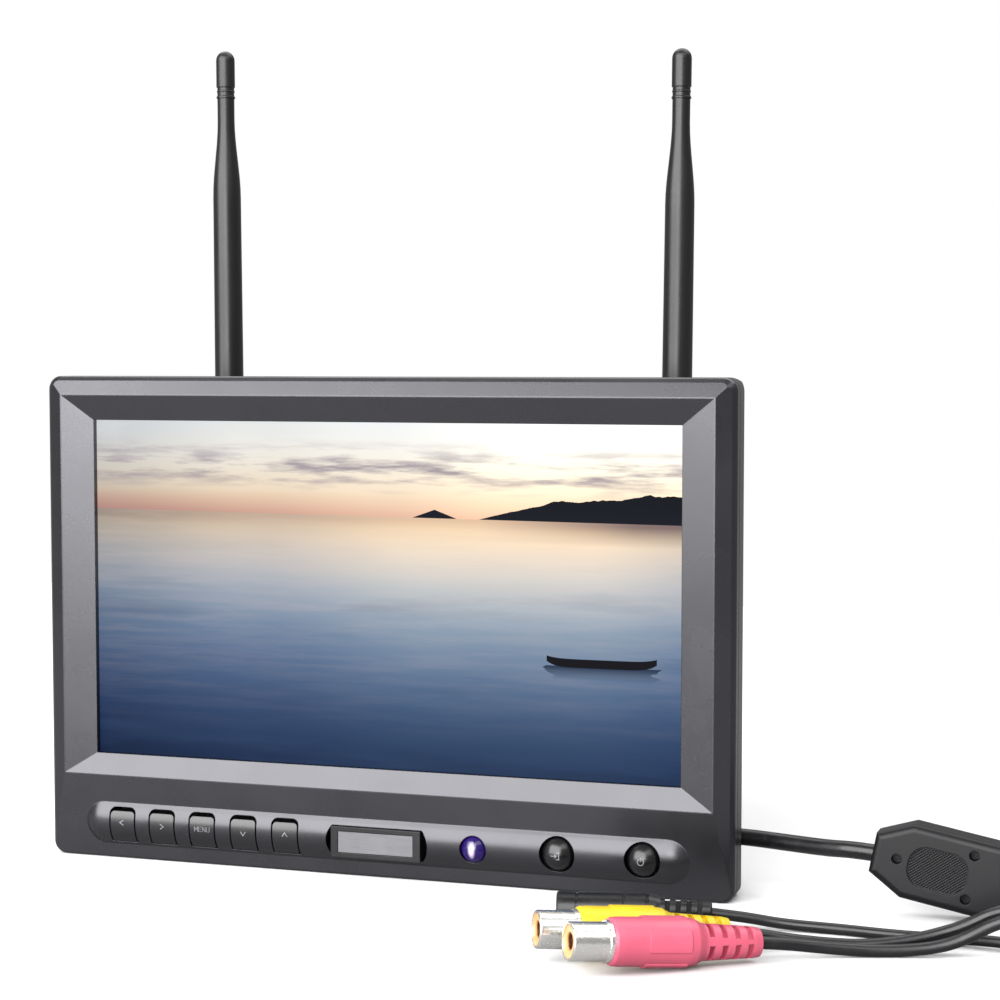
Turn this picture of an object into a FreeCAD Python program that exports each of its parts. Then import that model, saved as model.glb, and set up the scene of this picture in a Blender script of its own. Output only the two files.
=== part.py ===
"""Seven-inch dashboard monitor: two folding aerials, a breakout box, a power jack and two phono sockets.

Millimetres, +Z up. The monitor stands on its bottom edge at Z = 0 and looks along -Y.
X = 0 is the middle of its width, and Y = 0 the middle of its depth, aerials included.
"""
import FreeCAD, Part
import math
import os

V = FreeCAD.Vector
X, Y, Z = V(1, 0, 0), V(0, 1, 0), V(0, 0, 1)

os.makedirs("parts", exist_ok=True)

# ---------------------------------------------------------------- driving dimensions
BODY_W, BODY_H, CORNER_R = 181.5, 125.0, 3.5
FRONT = -26.1                       # plane of the housing's front edge
SEAM = FRONT + 3.0                  # where the front frame meets the rear cover
SHOULDER = FRONT + 8.1              # where the rear cover starts to slope in
BACK = FRONT + 25.0                 # flat back of the rear cover
WALL = 1.8

OPEN_HALF_W = 77.6                  # picture opening
OPEN_Z0, OPEN_Z1 = 27.35, 113.75
OPEN_MID_Z = (OPEN_Z0 + OPEN_Z1) / 2
RIDGE_PROUD = 2.3                   # the bezel's ridge stands this far before the front edge
RIDGE_SIDE, RIDGE_TOP, RIDGE_BOTTOM = 8.25, 6.5, 5.3
RIDGE_FLAT = 0.3
FRONT_WALL = 1.6                    # inner face of the front wall, behind the front edge plane

EDGE_SETBACK = ((0.0, 0.8), (0.25, 0.3), (3.25, -2.7))   # softened rim: inset against depth from FRONT
SEAM_GROOVE = 0.4
REAR_ROUND = 2.5                    # rounding round the flat back

BAR_HALF_L, BAR_R = 74.7, 8.56      # convex control bar: straight half, radius of its section
BAR_Z = 10.1
BAR_Y = FRONT + 5.51                # axis of the bar's round section
BAR_SHELL = 1.6

KEY_CENTRES = {"left_key": -69.1, "right_key": -57.9, "menu_key": -46.6, "down_key": -35.15,
               "up_key": -23.7}
KEY_HALF_W, KEY_Z0, KEY_Z1, KEY_CORNER = 3.35, 4.9, 12.9, 1.0
KEY_SLOT_HALF_W, KEY_SLOT_Z0, KEY_SLOT_Z1, KEY_SLOT_CORNER = 3.7, 4.7, 13.9, 1.7
BUTTONS = {"source_button": 47.7, "power_button": 68.95}
BUTTON_R, BUTTON_HOLE_R, BUTTON_Z = 4.1, 4.45, 9.65
BUTTON_BALL_R, BUTTON_BALL_Y = 4.4, FRONT - 0.1
LENS_X, LENS_Z, LENS_R, LENS_HOLE_R = 26.25, 9.4, 3.35, 3.42
LENS_BALL_R, LENS_BALL_Y = 3.7, FRONT - 0.4

LABEL_X0, LABEL_X1, LABEL_Z0, LABEL_Z1 = -10.9, 12.75, 5.35, 13.05
LABEL_RIM_X, LABEL_RIM_Z, LABEL_BULGE = 1.85, 1.15, 1.5
LABEL_Y, LABEL_DEPTH = FRONT - 3.6, 5.1

PANEL_HALF_W, PANEL_Z0, PANEL_Z1 = 82.0, 24.8, 120.9

HOUSING_SCREWS = [(side * 85.2, z) for z in (6.5, 62.0, 118.0) for side in (-1, 1)]
BOARD_SCREWS = [(side * 50.0, z) for z in (38.0, 96.0) for side in (-1, 1)]
VESA, VESA_Z = 75.0, 62.5
INSERT_R, INSERT_BORE_R, INSERT_L = 2.97, 1.65, 7.8

AERIAL_X = 63.6
AERIAL_Z = {"left": 110.0, "right": 105.4}   # height of each aerial's jack and hinge
AERIAL_LEAN = {"left": -0.3, "right": 0.6}   # how far each is swivelled outwards at rest, degrees
HINGE_Y = BACK + 27.7
JACK_R, JACK_END = 3.17, BACK + 9.5
AERIAL_R, AERIAL_THIN_R, AERIAL_TIP_R = 3.95, 2.32, 2.55
AERIAL_SHOULDER, AERIAL_NECK, AERIAL_TIP, AERIAL_TOP = 64.0, 85.0, 91.0, 103.9

CABLE_D, LEAD_D, POWER_LEAD_D = 4.1, 2.8, 2.5
CABLE_Y, CABLE_Z = FRONT + 16.0, 13.2

BOX_NOSE = V(123.5, FRONT - 2.4, 15.35)      # middle of the breakout box's nose, on its front face
BOX_TILT, BOX_LEAN = 10.9, 3.0               # its right end lies lower, and its face leans back, degrees
BOX_L, BOX_HALF_H, BOX_T, BOX_NOSE_HALF_H, BOX_NOSE_L = 32.8, 8.75, 10.0, 4.6, 8.1
BOX_WALL, BOX_EDGE = 1.5, 1.7
BOX_SCREWS = [(5.8, 0.0), (22.8, 5.15), (22.8, -5.15)]
GRIP_MID, GRIP_HALF_L, GRIP_Z0, GRIP_Z1, GRIP_CORNER, GRIP_DEPTH = 15.4, 6.9, -5.2, 4.4, 4.2, 0.35
BOX_SCREW_R, BOX_SCREW_SINK, BOX_POST_R = 1.1, 2.4, 2.4
LEAD_PITCH = 5.0

# Phono sockets and power jack: mouth and rear end of each axis, on the table before the monitor.
SOCKETS = {
    "video": (V(60.8, FRONT - 63.2, 7.5), V(97.75, FRONT - 41.1, 4.3)),
    "audio": (V(70.6, FRONT - 72.3, 8.0), V(105.75, FRONT - 47.3, 4.3)),
}
PIN_BORE_R = 1.95                            # takes a phono plug's 3.2 mm pin inside its sprung sleeve
HOOD_R, HOOD_PAD_R, HOOD_PAD_HALF, HOOD_ROLL = 5.2, 5.5, 2.4, -15.0
JACK_BORE_R = 3.1                            # takes a 5.5 mm barrel plug inside its contact sleeve
JACK_MOUTH, JACK_REAR = V(56.4, FRONT - 32.3, 4.15), V(90.7, FRONT - 24.1, 4.15)

# Cord routes, as hand-laid points, Y from FRONT. Heights equal to the cord's radius lie on the table.
MAIN_CABLE = [(77.0, 16.0, 13.2), (89.0, 15.8, 13.15), (101.0, 12.9, 13.0), (112.0, 6.7, 13.7),
              (118.8, 3.4, 14.5), (125.5, 2.56, 14.09)]
AUDIO_LEAD = [(102.9, -49.3, 4.6), (109.6, -44.5, 3.8), (117.5, -40.0, 2.4), (126.5, -36.6, 1.45),
              (135.3, -34.0, 1.5), (142.5, -32.2, 2.4), (148.0, -31.2, 4.4), (155.5, -31.0, 9.0),
              (168.5, -31.0, 12.6), (178.3, -21.1, 13.4), (178.3, -7.1, 12.8), (169.0, 2.85, 11.4),
              (156.01, 2.85, 13.91)]
VIDEO_LEAD = [(94.75, -42.9, 4.56), (102.0, -38.5, 3.8), (110.5, -34.6, 2.0), (118.5, -33.5, 1.5),
              (126.5, -32.6, 1.5), (134.5, -29.8, 2.3), (141.5, -27.5, 3.9), (147.8, -26.2, 6.1),
              (155.0, -26.0, 10.2), (166.6, -26.0, 11.3), (175.0, -17.6, 10.4), (175.0, -5.8, 8.6),
              (166.6, 2.59, 6.78), (155.07, 2.59, 9.0)]
POWER_LEAD = [(87.2, -24.94, 4.15), (96.6, -22.5, 3.3), (106.0, -19.9, 1.55), (118.5, -19.4, 1.3),
              (131.0, -20.9, 1.3), (142.0, -20.6, 1.3), (152.8, -21.3, 1.9), (163.5, -24.2, 1.7),
              (171.5, -20.2, 1.5), (174.8, -12.3, 1.4), (172.4, -4.1, 1.6), (164.0, 2.33, 2.2),
              (154.13, 2.33, 4.1)]


# ---------------------------------------------------------------- helpers
def box(x0, x1, y0, y1, z0, z1):
    return Part.makeBox(x1 - x0, y1 - y0, z1 - z0, V(x0, y0, z0))


def ycyl(x, z, y0, y1, r):
    return Part.makeCylinder(r, y1 - y0, V(x, y0, z), Y)


def xcyl(y, z, x0, x1, r):
    return Part.makeCylinder(r, x1 - x0, V(x0, y, z), X)


def hexagon(x, z, y0, y1, flats):
    corner = flats / math.sqrt(3)
    pts = [V(x + corner * math.cos(math.radians(60 * i)), y0, z + corner * math.sin(math.radians(60 * i)))
           for i in range(7)]
    return Part.Face(Part.makePolygon(pts)).extrude(V(0, y1 - y0, 0))


def fuse(shapes):
    shapes = list(shapes)
    out = shapes[0]
    if len(shapes) > 1:
        out = out.multiFuse(shapes[1:])
    return out.removeSplitter()


def edges_along_y(shape):
    return [e for e in shape.Edges if abs(e.tangentAt(e.FirstParameter).dot(Y)) > 0.99]


def plate(x0, x1, y0, y1, z0, z1, r):
    """Slab with its four corners rounded in the XZ plane."""
    slab = box(x0, x1, y0, y1, z0, z1)
    return slab.makeFillet(r, edges_along_y(slab))


def arched(x, half_w, y0, y1, z0, z1, r):
    """Upright block whose two top corners are rounded."""
    block = box(x - half_w, x + half_w, y0, y1, z0, z1)
    return block.makeFillet(r, [e for e in edges_along_y(block) if e.CenterOfMass.z > z1 - 0.1])


def rect_loft(rect_a, y_a, rect_b, y_b):
    """Solid between two rectangles (x0, x1, z0, z1) that lie in two XZ planes."""
    wires = []
    for (x0, x1, z0, z1), y in ((rect_a, y_a), (rect_b, y_b)):
        corners = [V(x0, y, z0), V(x1, y, z0), V(x1, y, z1), V(x0, y, z1)]
        wires.append(Part.makePolygon(corners + corners[:1]))
    return Part.makeLoft(wires, True, True)


def revolve(profile, origin, axis):
    """Turn a closed (radius, distance) outline about an axis through origin."""
    pts = [V(r, 0, s) for r, s in profile]
    face = Part.Face(Part.makePolygon(pts + pts[:1]))
    solid = face.revolve(V(0, 0, 0), Z, 360)
    solid.Placement = FreeCAD.Placement(origin, FreeCAD.Rotation(Z, axis))
    return solid


def group(shapes):
    return Part.makeCompound(list(shapes))


def save(name, shape):
    if not shape.isValid():
        print("INVALID", name)
    shape.exportStep("parts/%s.step" % name)
    NODES[name] = shape


def cord(name, route, d):
    """Round cord along straight runs that tangent arcs join, each as large as its two runs allow."""
    pts = [V(x, FRONT + y, z) for x, y, z in route]
    edges, radii, last = [], [], pts[0]
    for a, p, b in zip(pts, pts[1:], pts[2:]):
        back, on = (a - p), (b - p)
        reach = 0.45 * min(back.Length, on.Length)
        back.normalize()
        on.normalize()
        half_turn = (math.pi - back.getAngle(on)) / 2
        radius = reach / math.tan(half_turn)
        radii.append(round(radius / d, 1))
        start, end = p + back * reach, p + on * reach
        inward = back + on
        inward.normalize()
        middle = p + inward * (radius / math.cos(half_turn) - radius)
        edges.append(Part.LineSegment(last, start).toShape())
        edges.append(Part.Arc(start, middle, end).toShape())
        last = end
    edges.append(Part.LineSegment(last, pts[-1]).toShape())
    path = Part.Wire(edges)
    ring = Part.Wire(Part.makeCircle(d / 2, pts[0], pts[1] - pts[0]))
    tube = path.makePipeShell([ring], True, False)
    length = path.Length
    print("%s: %.0f mm long, bend radii in diameters %s, volume ratio %.4f"
          % (name, length, radii, tube.Volume / (math.pi * d * d / 4 * length)))
    save(name, tube)


def phillips(head, x, z, y_face, depth, reach, toward):
    """Cut a cross recess into a screw head that faces along toward (+1 or -1 in Y)."""
    y0, y1 = sorted((y_face, y_face - toward * depth))
    return head.cut(fuse([box(x - reach, x + reach, y0, y1, z - 0.3, z + 0.3),
                          box(x - 0.3, x + 0.3, y0, y1, z - reach, z + reach)]))


# ---------------------------------------------------------------- monitor housing
def bar(r):
    """Round-ended bar of radius r along the control panel."""
    body = xcyl(BAR_Y, BAR_Z, -BAR_HALF_L, BAR_HALF_L, r)
    ends = [Part.makeSphere(r, V(side * BAR_HALF_L, BAR_Y, BAR_Z)) for side in (-1, 1)]
    return fuse([body] + ends)


def outer_rect(inset=0.0):
    return (-BODY_W / 2 + inset, BODY_W / 2 - inset, inset, BODY_H - inset)


def ridge_rect(grow):
    half = OPEN_HALF_W + RIDGE_SIDE + grow
    return (-half, half, OPEN_Z0 - RIDGE_BOTTOM - grow, OPEN_Z1 + RIDGE_TOP + grow)


def housing_slab(y0, y1, inset=0.0, r=CORNER_R):
    x0, x1, z0, z1 = outer_rect(inset)
    return plate(x0, x1, y0, y1, z0, z1, r)


def label_pocket():
    """Opening for the label surround: a rectangle with a curved slot beyond each end."""
    gap, z_mid = 0.1, (LABEL_Z0 + LABEL_Z1) / 2
    x0, x1, z0, z1 = LABEL_X0 - gap, LABEL_X1 + gap, LABEL_Z0 - gap, LABEL_Z1 + gap
    y0, y1 = FRONT - 6, FRONT + FRONT_WALL
    half = (z1 - z0) / 2
    r = (half * half + LABEL_BULGE ** 2) / (2 * LABEL_BULGE)
    left = ycyl(x0 - LABEL_BULGE + r, z_mid, y0, y1, r).common(box(x0 - 3, x0 + 0.2, y0, y1, z0, z1))
    right = ycyl(x1 + LABEL_BULGE - r, z_mid, y0, y1, r).common(box(x1 - 0.2, x1 + 3, y0, y1, z0, z1))
    return fuse([box(x0, x1, y0, y1, z0, z1), left, right])


def softened_rim():
    """Room inside the housing's outline that narrows towards the front, which rounds the front edge."""
    outlines = []
    for inset, depth in EDGE_SETBACK:
        slab = housing_slab(FRONT + depth, FRONT + depth + 1, inset, CORNER_R - inset)
        face = [f for f in slab.Faces if f.BoundBox.YMax < FRONT + depth + 0.01][0]
        outlines.append(face.OuterWire)
    return Part.makeLoft(outlines, True, True)


def front_frame():
    slope = rect_loft(outer_rect(), FRONT, ridge_rect(RIDGE_FLAT / 2), FRONT - RIDGE_PROUD)
    rim = fuse([housing_slab(FRONT, SEAM), slope]).common(softened_rim())
    front_half = box(-90, 90, FRONT - 10, FRONT + FRONT_WALL, 0, 30)
    frame = fuse([rim, housing_slab(FRONT + EDGE_SETBACK[0][1], SEAM), bar(BAR_R).common(front_half)])
    opening = (-OPEN_HALF_W, OPEN_HALF_W, OPEN_Z0, OPEN_Z1)
    dish = rect_loft(ridge_rect(-RIDGE_FLAT / 2), FRONT - RIDGE_PROUD, opening, FRONT)
    through = box(-OPEN_HALF_W, OPEN_HALF_W, FRONT - 5, SEAM + 1, OPEN_Z0, OPEN_Z1)
    cavity = housing_slab(FRONT + FRONT_WALL, SEAM + 1, WALL, 2.0)
    cuts = [dish, through, cavity, bar(BAR_R - BAR_SHELL), label_pocket()]
    for x in KEY_CENTRES.values():
        cuts.append(arched(x, KEY_SLOT_HALF_W, FRONT - 6, FRONT + FRONT_WALL, KEY_SLOT_Z0, KEY_SLOT_Z1,
                           KEY_SLOT_CORNER))
    for x in BUTTONS.values():
        cuts.append(ycyl(x, BUTTON_Z, FRONT - 6, FRONT + FRONT_WALL, BUTTON_HOLE_R))
    cuts.append(ycyl(LENS_X, LENS_Z, FRONT - 6, FRONT + FRONT_WALL, LENS_HOLE_R))
    frame = frame.cut(cuts)
    bosses = [ycyl(x, z, FRONT + FRONT_WALL - 0.1, FRONT + 7.8, 2.6) for x, z in HOUSING_SCREWS]
    frame = fuse([frame] + bosses)
    return frame.cut([ycyl(x, z, FRONT + 2.2, FRONT + 8, 1.45) for x, z in HOUSING_SCREWS])


def rear_outer():
    back = (-81.75, 81.75, 0.6, 116.0)
    taper = rect_loft(outer_rect(), SHOULDER, back, BACK).common(housing_slab(SHOULDER, BACK + 1))
    groove = housing_slab(SEAM, SEAM + SEAM_GROOVE, SEAM_GROOVE, CORNER_R - SEAM_GROOVE)
    cover = fuse([groove, housing_slab(SEAM + SEAM_GROOVE, SHOULDER), taper])
    return cover.makeFillet(REAR_ROUND, [e for e in cover.Edges if e.BoundBox.YMin > BACK - 0.01])


def vent_slots():
    """Two banks of cooling slots high on the back, and the speaker's slots low on the left."""
    slots = []
    for side in (-1, 1):
        for i in range(7):
            x = side * (6.0 + 3.4 * i)
            slots.append(box(x - 0.8, x + 0.8, BACK - 3, BACK + 1, 84.0, 108.0))
    for i in range(6):
        z = 10.0 + 2.4 * i
        slots.append(box(-70.0, -54.0, BACK - 3, BACK + 1, z - 0.6, z + 0.6))
    return slots


def vesa_points():
    return [(sx * VESA / 2, VESA_Z + sz * VESA / 2) for sx in (-1, 1) for sz in (-1, 1)]


def rear_cover():
    outer = rear_outer()
    inner = (-80.1, 80.1, 2.4, 114.4)
    hollow = fuse([housing_slab(SEAM - 1, SHOULDER, WALL, 2.0),
                   rect_loft(outer_rect(WALL), SHOULDER, inner, BACK - 2)])
    shell = outer.cut(hollow)
    tubes = [ycyl(x, z, FRONT + 8.0, BACK, 3.8) for x, z in HOUSING_SCREWS]
    tubes += [ycyl(x, z, BACK - 10, BACK, 5.0) for x, z in vesa_points()]
    tubes += [ycyl(x, z, FRONT + 13.65, BACK - 1, 3.0) for x, z in BOARD_SCREWS]
    cover = fuse([shell] + [t.common(outer) for t in tubes])
    cuts = vent_slots()
    for x, z in HOUSING_SCREWS:
        cuts.append(ycyl(x, z, FRONT + 7, BACK, 1.6))
        cuts.append(ycyl(x, z, FRONT + 11.0, BACK + 1, 3.0))
    cuts += [ycyl(x, z, BACK - 8, BACK + 1, INSERT_R + 0.03) for x, z in vesa_points()]
    cuts += [ycyl(x, z, FRONT + 13, FRONT + 20, 1.1) for x, z in BOARD_SCREWS]
    for side, sign in (("left", -1), ("right", 1)):
        cuts.append(ycyl(sign * AERIAL_X, AERIAL_Z[side], BACK - 5, BACK + 1, JACK_R + 0.1))
    cuts.append(xcyl(CABLE_Y, CABLE_Z, 76, 95, 2.95))
    return cover.cut(cuts)


def housing_screws():
    screws = []
    for x, z in HOUSING_SCREWS:
        head = phillips(ycyl(x, z, FRONT + 11.0, FRONT + 12.8, 2.7), x, z, FRONT + 12.8, 0.9, 1.3, 1)
        screws.append(fuse([head, ycyl(x, z, FRONT + 2.7, FRONT + 11.0, 1.4)]))
    return group(screws)


def board_screws():
    screws = []
    for x, z in BOARD_SCREWS:
        head = phillips(ycyl(x, z, FRONT + 10.6, FRONT + 11.98, 2.3), x, z, FRONT + 10.6, 0.7, 1.1, -1)
        screws.append(fuse([head, ycyl(x, z, FRONT + 11.98, FRONT + 19.0, 1.07)]))
    return group(screws)


def mount_inserts():
    return group(ycyl(x, z, BACK - INSERT_L, BACK - 0.2, INSERT_R).cut(
        ycyl(x, z, BACK - INSERT_L - 1, BACK + 1, INSERT_BORE_R)) for x, z in vesa_points())


# ---------------------------------------------------------------- picture
def picture_stack():
    z0, z1 = OPEN_MID_Z - 46.4, OPEN_MID_Z + 46.4
    ring = box(-80.8, 80.8, FRONT + 1.62, FRONT + 2.0, z0, z1)
    window = box(-78.0, 78.0, FRONT + 1, FRONT + 3, OPEN_Z0 - 0.5, OPEN_Z1 + 0.5)
    save("screen_gasket", ring.cut(window))
    save("lcd_panel", box(-PANEL_HALF_W, PANEL_HALF_W, FRONT + 2.02, FRONT + 3.5, PANEL_Z0, PANEL_Z1))
    save("light_guide", box(-81.2, 81.2, FRONT + 3.55, FRONT + 6.3, PANEL_Z0 + 0.8, PANEL_Z1 - 0.8))
    pan = box(-PANEL_HALF_W, PANEL_HALF_W, FRONT + 3.53, FRONT + 7.4, PANEL_Z0, PANEL_Z1)
    inside = box(-81.3, 81.3, FRONT + 3.0, FRONT + 6.4, PANEL_Z0 + 0.7, PANEL_Z1 - 0.7)
    save("backlight_tray", pan.cut(inside))


# ---------------------------------------------------------------- controls
def key(x):
    """Tongue of the convex bar between its slot walls, with a stem that reaches its switch."""
    blank = arched(x, KEY_HALF_W, FRONT - 6, FRONT + 0.3, KEY_Z0, KEY_Z1, KEY_CORNER)
    tongue = bar(BAR_R).common(blank).cut(bar(BAR_R - BAR_SHELL))
    return fuse([tongue, box(x - 1.2, x + 1.2, FRONT - 2.2, FRONT + 2.6, 9.2, 11.0)])


def dome(x, z, r, ball_r, ball_y, y_back):
    """Round cap with a domed face."""
    cap = Part.makeSphere(ball_r, V(x, ball_y, z)).common(ycyl(x, z, FRONT - 8, ball_y, r))
    return fuse([cap, ycyl(x, z, ball_y, y_back, r)])


def controls():
    for name, x in KEY_CENTRES.items():
        save(name, key(x))
    for name, x in BUTTONS.items():
        cap = dome(x, BUTTON_Z, BUTTON_R, BUTTON_BALL_R, BUTTON_BALL_Y, FRONT + 0.8)
        save(name, fuse([cap, ycyl(x, BUTTON_Z, FRONT + 0.5, FRONT + 2.6, 1.2)]))
    save("ir_lens", dome(LENS_X, LENS_Z, LENS_R, LENS_BALL_R, LENS_BALL_Y, FRONT + 0.8))
    block = box(LABEL_X0, LABEL_X1, LABEL_Y, LABEL_Y + LABEL_DEPTH, LABEL_Z0, LABEL_Z1)
    x0, x1 = LABEL_X0 + LABEL_RIM_X, LABEL_X1 - LABEL_RIM_X
    z0, z1 = LABEL_Z0 + LABEL_RIM_Z, LABEL_Z1 - LABEL_RIM_Z
    save("label_surround", block.cut(box(x0, x1, LABEL_Y - 1, LABEL_Y + 0.5, z0, z1)))
    save("label_plate", box(x0 + 0.1, x1 - 0.1, LABEL_Y + 0.12, LABEL_Y + 0.48, z0 + 0.1, z1 - 0.1))
    save("key_board", box(-76, 76, FRONT + 5.0, FRONT + 6.2, 2.8, 19.0))
    switches = []
    for x, z in [(x, BAR_Z) for x in KEY_CENTRES.values()] + [(x, BUTTON_Z) for x in BUTTONS.values()]:
        can = box(x - 1.8, x + 1.8, FRONT + 3.7, FRONT + 4.98, z - 1.8, z + 1.8)
        switches.append(fuse([can, ycyl(x, z, FRONT + 3.2, FRONT + 3.8, 0.9)]))
    receiver = box(LENS_X - 2.5, LENS_X + 2.5, FRONT + 2.2, FRONT + 4.98, 7.0, 12.5)
    save("key_board_parts", group(switches + [receiver]))


# ---------------------------------------------------------------- electronics
def electronics():
    y0, y1 = FRONT + 12.0, FRONT + 13.6
    board = fuse([box(-60, 59.2, y0, y1, 30, 105), box(38, 72, y0, y1, 8, 30)])
    save("main_board", board.cut([ycyl(x, z, y0 - 1, y1 + 1, 1.4) for x, z in BOARD_SCREWS]))
    chips = [box(-9, 9, y0 - 1.5, y0 - 0.02, 56, 74), box(18, 30, y0 - 1.2, y0 - 0.02, 60, 70),
             box(-32, -22, y0 - 1.2, y0 - 0.02, 60, 68), ycyl(38, 50, y0 - 3.4, y0 - 0.02, 4.0),
             ycyl(-38, 50, y0 - 3.4, y0 - 0.02, 4.0), box(60, 66.95, y1 + 0.02, y1 + 5.6, 8.6, 17.8)]
    save("board_parts", group(chips))
    save("tuner_shields", group(box(side * 47 - 9, side * 47 + 9, y0 - 3.6, y0 - 0.02, 78, 92)
                                for side in (-1, 1)))
    cone = ycyl(-62, 16, BACK - 7.0, BACK - 2.1, 10.0)
    save("speaker", cone.cut(ycyl(-62, 16, BACK - 3.2, BACK - 2, 8.4)))
    save("cable_plug", box(67.0, 77.0, CABLE_Y - 2.2, CABLE_Y + 2.2, CABLE_Z - 3.6, CABLE_Z + 3.6))


def aerial_tail(side, sign):
    """Thin coaxial tail from the receiver's shield to the back of the aerial jack."""
    low, rise = 92.05, AERIAL_Z[side] - 92.05
    route = [(sign * 52.0, 10.0, low), (sign * 52.5, 9.9, low + 0.25 * rise),
             (sign * 55.8, 10.0, low + 0.55 * rise), (sign * 60.5, 11.4, low + 0.82 * rise),
             (sign * 63.3, 14.6, low + 0.98 * rise), (sign * AERIAL_X, 18.88, low + rise)]
    cord(side + "_aerial_tail", route, 1.3)


# ---------------------------------------------------------------- aerials
def whip_profile():
    """Radius against height above the hinge, from the foot to the neck below the tip."""
    taper = []
    for i in range(9):
        t = i / 8.0
        ease = t * t * (3 - 2 * t)
        taper.append((AERIAL_R - 0.15 + (AERIAL_THIN_R - AERIAL_R + 0.15) * ease,
                      AERIAL_SHOULDER + (AERIAL_NECK - AERIAL_SHOULDER) * t))
    return [(0, 4.5), (AERIAL_R, 4.5)] + taper + [(AERIAL_THIN_R, AERIAL_TIP), (1.6, AERIAL_TIP),
                                                  (1.6, AERIAL_TIP + 5), (0, AERIAL_TIP + 5)]


def tip_profile():
    """Grooved collar and rounded cap, with a socket for the whip's spigot."""
    low, r, top = AERIAL_TIP + 0.02, AERIAL_TIP_R, AERIAL_TOP
    dome_pts = [(r * math.cos(a), top - r + r * math.sin(a))
                for a in [math.radians(11.25 * i) for i in range(8)]]
    groove, ring = r - 0.24, r - 0.1
    rings = [(r, low), (r, low + 0.5), (groove, low + 0.65), (groove, low + 1.6), (ring, low + 1.7),
             (ring, low + 2.0), (groove, low + 2.1), (groove, low + 2.9), (r, low + 3.05)]
    return [(1.63, low)] + rings + dome_pts + [(0, top), (0, low + 5.3), (1.63, low + 5.3)]


def aerial(side, sign):
    x, z = sign * AERIAL_X, AERIAL_Z[side]

    def save_leaning(name, shape):
        shape.rotate(V(x, HINGE_Y, z), Y, AERIAL_LEAN[side])
        save(side + name, shape)

    jack = fuse([hexagon(x, z, BACK - 4.5, BACK - 2.02, 8.0), ycyl(x, z, BACK - 2.1, JACK_END, JACK_R),
                 ycyl(x, z, BACK - 6.1, BACK - 4.4, 2.0)])
    jack = jack.cut(ycyl(x, z, JACK_END - 5, JACK_END + 1, 2.3))
    save(side + "_aerial_jack", fuse([jack, ycyl(x, z, JACK_END - 5.5, JACK_END - 1, 0.6)]))

    collar = ycyl(x, z, BACK + 2.8, BACK + 12.0, 4.6)
    flutes = [ycyl(x + 4.9 * math.cos(math.radians(20 * i)), z + 4.9 * math.sin(math.radians(20 * i)),
                   BACK + 3.4, BACK + 11.4, 0.6) for i in range(18)]
    collar = collar.cut(flutes + [ycyl(x, z, BACK + 2, BACK + 9.8, JACK_R + 0.07)])
    save_leaning("_aerial_collar", collar)

    stem = ycyl(x, z, BACK + 12.02, HINGE_Y - 4.8, 4.1)
    cheeks = []
    for s in (-1, 1):
        x0, x1 = sorted((x + s * 2.0, x + s * 4.0))
        cheeks.append(fuse([box(x0, x1, HINGE_Y - 5.0, HINGE_Y, z - 3.5, z + 3.5),
                            xcyl(HINGE_Y, z, x0, x1, 3.5)]).common(
                                ycyl(x, z, HINGE_Y - 6, HINGE_Y + 5, 4.6)))
    knuckle = fuse([stem] + cheeks).cut(xcyl(HINGE_Y, z, x - 5, x + 5, 1.02))
    save_leaning("_aerial_knuckle", knuckle)
    save_leaning("_hinge_pin", xcyl(HINGE_Y, z, x - 3.9, x + 3.9, 1.0))

    whip = revolve(whip_profile(), V(x, HINGE_Y, z), Z)
    tongue = fuse([xcyl(HINGE_Y, z, x - 1.8, x + 1.8, 3.3),
                   box(x - 1.8, x + 1.8, HINGE_Y - 3.3, HINGE_Y + 3.3, z, z + 4.6)])
    save_leaning("_aerial_whip", fuse([whip, tongue]).cut(xcyl(HINGE_Y, z, x - 3, x + 3, 1.06)))
    save_leaning("_aerial_tip", revolve(tip_profile(), V(x, HINGE_Y, z), Z))


def aerials():
    for side, sign in (("left", -1), ("right", 1)):
        aerial(side, sign)
        aerial_tail(side, sign)
    save("jack_nuts", group(
        hexagon(sign * AERIAL_X, AERIAL_Z[side], BACK + 0.02, BACK + 2.2, 8.0).cut(
            ycyl(sign * AERIAL_X, AERIAL_Z[side], BACK - 1, BACK + 3, JACK_R + 0.06))
        for side, sign in (("left", -1), ("right", 1))))


# ---------------------------------------------------------------- breakout box
def in_box(shape):
    """Set a shape drawn with X along the box, Z up its face and Y through it into place."""
    turned = shape.copy()
    turned.rotate(V(0, 0, 0), X, -BOX_LEAN)
    turned.rotate(V(0, 0, 0), Y, BOX_TILT)
    turned.translate(BOX_NOSE)
    return turned


def box_outline(y0, y1, inset):
    n, h, l = BOX_NOSE_HALF_H - inset * 0.45, BOX_HALF_H - inset, BOX_NOSE_L
    pts = [V(inset, y0, -n), V(l + inset * 0.2, y0, -h), V(BOX_L - inset, y0, -h), V(BOX_L - inset, y0, h),
           V(l + inset * 0.2, y0, h), V(inset, y0, n)]
    return Part.Face(Part.makePolygon(pts + pts[:1])).extrude(V(0, y1 - y0, 0))


def box_half(y0, y1, face_y, hollow_y0, hollow_y1):
    half = box_outline(y0, y1, 0)
    rim = [e for e in half.Edges if abs(e.CenterOfMass.y - face_y) < 0.01]
    return half.makeFillet(BOX_EDGE, rim).cut(box_outline(hollow_y0, hollow_y1, BOX_WALL))


def lead_heights():
    return {"audio": LEAD_PITCH, "video": 0.0, "power": -LEAD_PITCH}


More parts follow.
